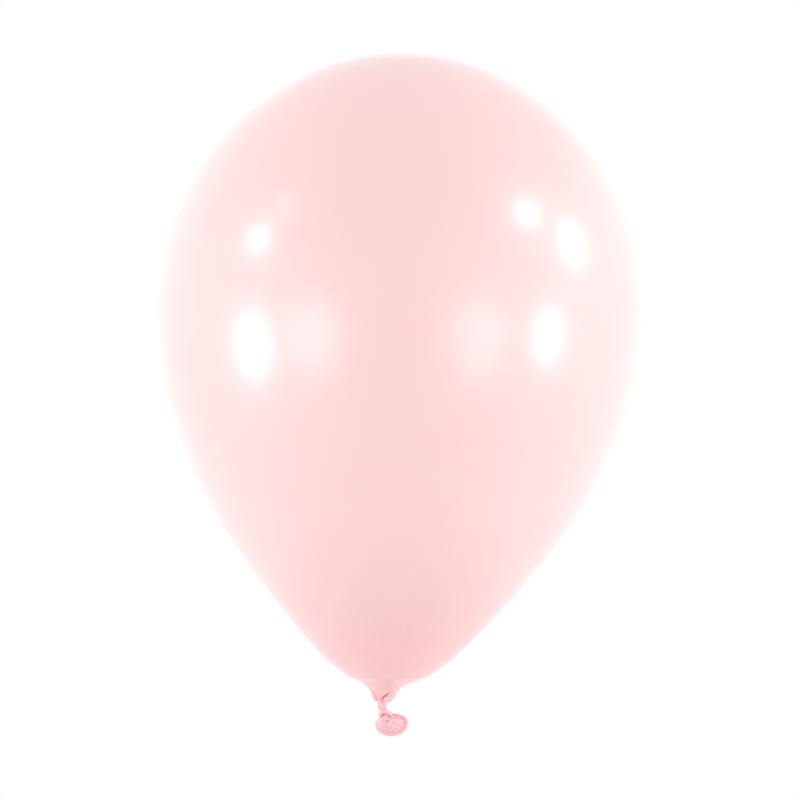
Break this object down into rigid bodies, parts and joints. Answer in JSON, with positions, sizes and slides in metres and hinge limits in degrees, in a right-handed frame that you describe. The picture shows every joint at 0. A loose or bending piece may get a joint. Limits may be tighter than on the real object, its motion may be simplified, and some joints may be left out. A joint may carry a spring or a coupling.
{
  "type": "latex balloon",
  "caption": "Teardrop party balloon, blown up and tied, with a gathered neck, a knot and a flared mouth with a rolled rim.",
  "frame": {"origin": "centre of the gathered neck between the bulb and the knot, where a ribbon is tied", "axes": "+Z from the tie up to the crown, -Y towards the viewer, +X to the viewer's right, the side the mouth hangs to"},
  "size_m": [0.2807, 0.2806, 0.3967],
  "materials": {
    "pearl_film": "pearl gloss, stretched thin",
    "gathered_film": "satin, bunched and unstretched",
    "mouth_film": "satin, unstretched"
  },
  "bodies": {
    "bulb": {"envelope": "pearl_film"},
    "neck": {"neck_gather": "gathered_film"},
    "knotted_end": {"knot": "gathered_film"},
    "mouth": {"mouth_sleeve": "mouth_film", "mouth_bead": "mouth_film"}
  },
  "joints": [
    {"name": "neck_sway", "type": "hinge", "parent": "bulb", "child": "neck", "pos_m": [0, 0, 0], "axis": [0, 1, 0], "range_deg": [-40, 40], "stiffness_Nm_per_rad": 0.001},
    {"name": "knot_nod", "type": "hinge", "parent": "neck", "child": "knotted_end", "pos_m": [0.0004, 0, -0.0031], "axis": [1, 0, 0], "range_deg": [-30, 30], "stiffness_Nm_per_rad": 0.001},
    {"name": "mouth_swing", "type": "hinge", "parent": "knotted_end", "child": "mouth", "pos_m": [0.0019, 0.0004, -0.0127], "axis": [0, 1, 0], "range_deg": [-22, 40], "stiffness_Nm_per_rad": 0.0005}
  ]
}
